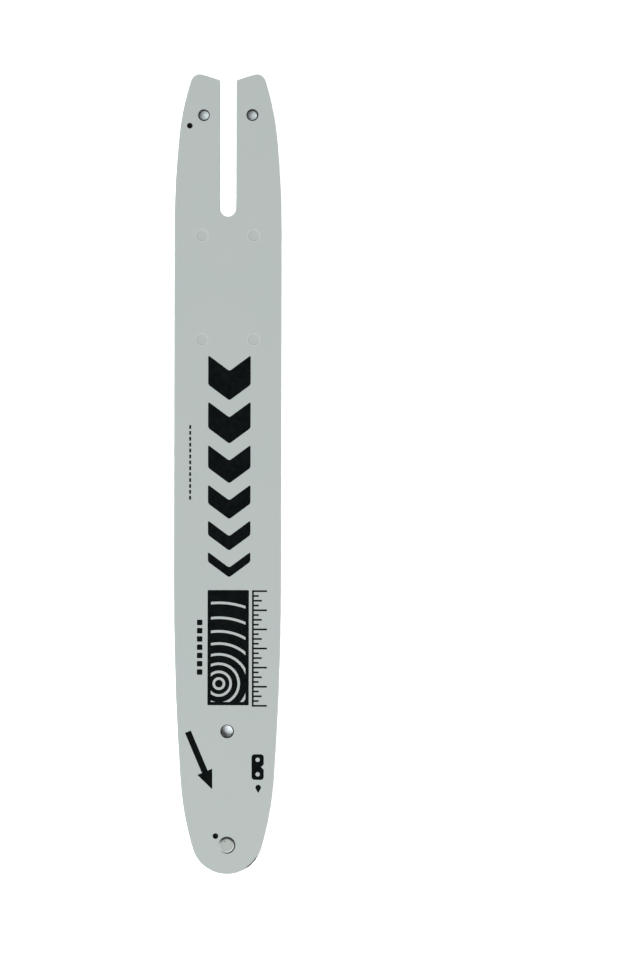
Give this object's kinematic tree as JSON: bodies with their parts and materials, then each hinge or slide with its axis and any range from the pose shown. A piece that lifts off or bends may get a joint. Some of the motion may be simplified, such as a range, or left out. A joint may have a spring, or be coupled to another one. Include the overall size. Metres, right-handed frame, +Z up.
{
  "type": "chainsaw guide bar",
  "caption": "Laminated chainsaw guide bar of spot-welded steel plates, with a chain groove round its edge, a slotted tail and a sprocket nose on needle rollers.",
  "frame": {"origin": "middle of the bar's outline, on its lower face", "axes": "+X across the bar, +Y along it from the nose to the tail, +Z up out of the front face"},
  "size_m": [0.0546, 0.407, 0.0047],
  "materials": {
    "paint": "satin grey paint",
    "core_steel": "sheared and ground steel",
    "bearing_steel": "hardened ground steel",
    "rivet_steel": "steel, painted over on the head and blackened on the set end"
  },
  "bodies": {
    "bar": {"side_plate_front": "paint", "core_plate": "core_steel", "side_plate_back": "paint", "bearing_race": "bearing_steel", "nose_rivet": "rivet_steel"},
    "sprocket": {"nose_sprocket": "bearing_steel"},
    "rollers": {"roller_01": "bearing_steel", "roller_02": "bearing_steel", "roller_03": "bearing_steel", "roller_04": "bearing_steel", "roller_05": "bearing_steel", "roller_06": "bearing_steel", "roller_07": "bearing_steel", "roller_08": "bearing_steel", "roller_09": "bearing_steel", "roller_10": "bearing_steel", "roller_11": "bearing_steel", "roller_12": "bearing_steel", "roller_13": "bearing_steel", "roller_14": "bearing_steel", "roller_15": "bearing_steel", "roller_16": "bearing_steel", "roller_17": "bearing_steel", "roller_18": "bearing_steel", "roller_19": "bearing_steel"}
  },
  "joints": [
    {"name": "sprocket_spin", "type": "hinge", "parent": "bar", "child": "sprocket", "pos_m": [0, -0.18865, 0.00205], "axis": [0, 0, 1], "continuous": true},
    {"name": "roller_orbit", "type": "hinge", "parent": "bar", "child": "rollers", "pos_m": [0, -0.18865, 0.00205], "axis": [0, 0, 1], "continuous": true}
  ],
  "couplings": [
    {"joint": "roller_orbit", "follows": "sprocket_spin", "ratio": 0.5811}
  ]
}
